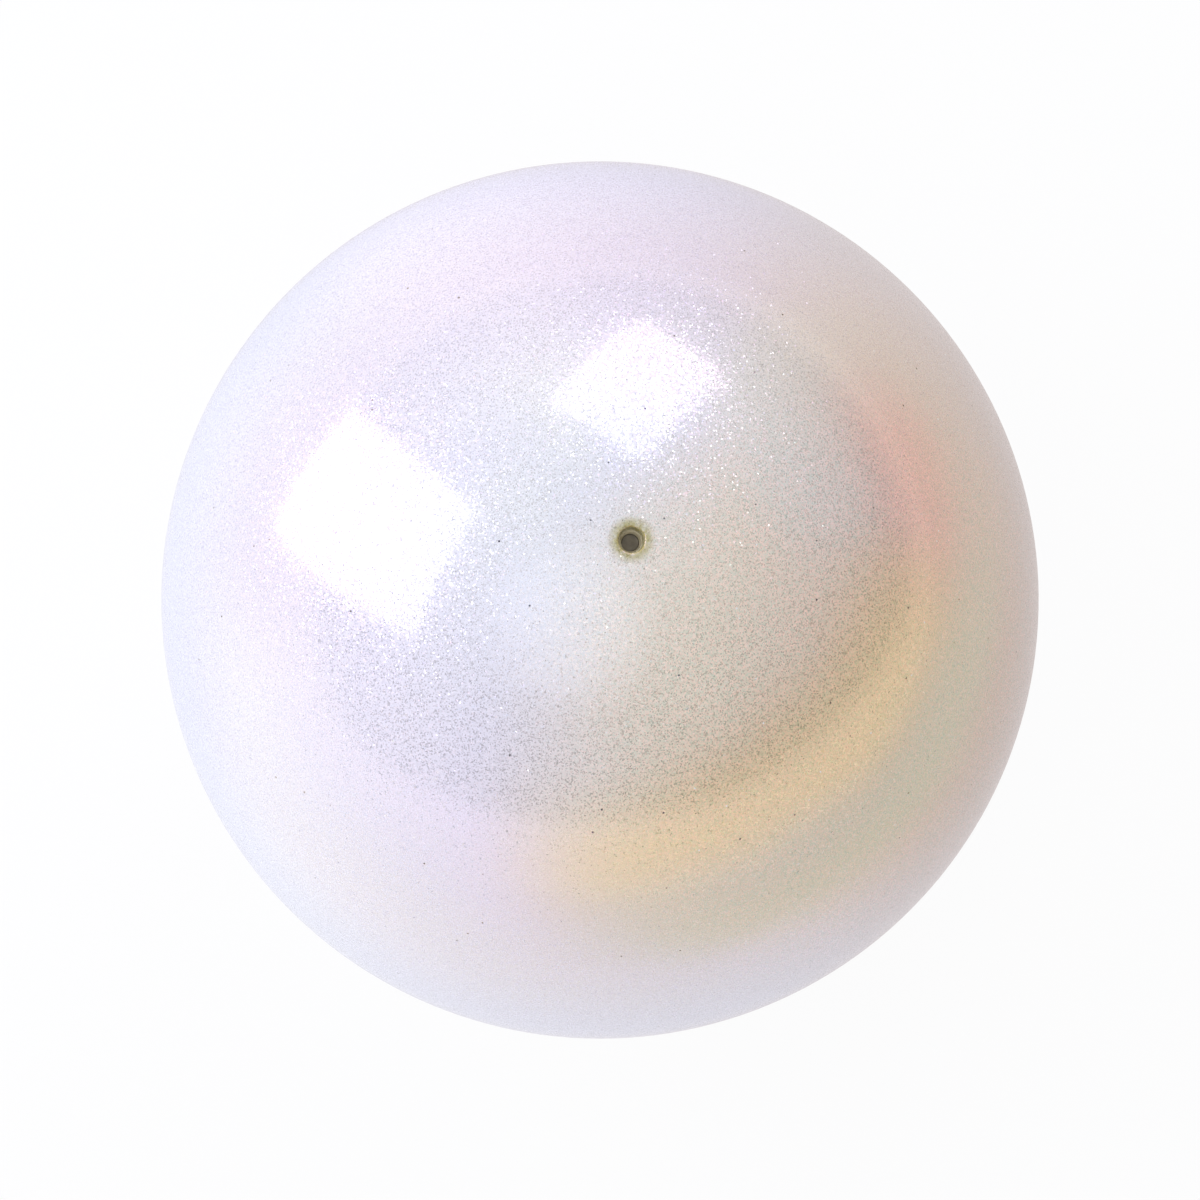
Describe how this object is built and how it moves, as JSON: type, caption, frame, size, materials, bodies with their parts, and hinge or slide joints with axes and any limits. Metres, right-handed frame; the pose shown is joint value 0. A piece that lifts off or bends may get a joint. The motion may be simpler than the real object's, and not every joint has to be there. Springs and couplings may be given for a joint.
{
  "type": "rhythmic gymnastics ball",
  "caption": "Hollow pearlescent rubber ball for rhythmic gymnastics, with a flush inflation valve stopped by a pull-out plug.",
  "frame": {"origin": "centre of the ball", "axes": "+Z out of the ball along the valve axis, with the valve on top; X and Y across it, free to choose because the part is turned about Z"},
  "size_m": [0.185, 0.185, 0.1849],
  "materials": {
    "pearl_skin": "white rubber under a glossy pearl lacquer with fine glitter that turns from lilac to cream",
    "bush_rubber": "bare soft rubber, beige to olive, satin",
    "plug_rubber": "dark grey rubber, matte"
  },
  "bodies": {
    "ball": {"ball_shell": "pearl_skin", "valve_bush": "bush_rubber"},
    "plug": {"valve_plug": "plug_rubber"}
  },
  "joints": [
    {"name": "plug_pull", "type": "slide", "parent": "ball", "child": "plug", "axis": [0, 0, 1], "range_m": [0, 0.018]}
  ]
}
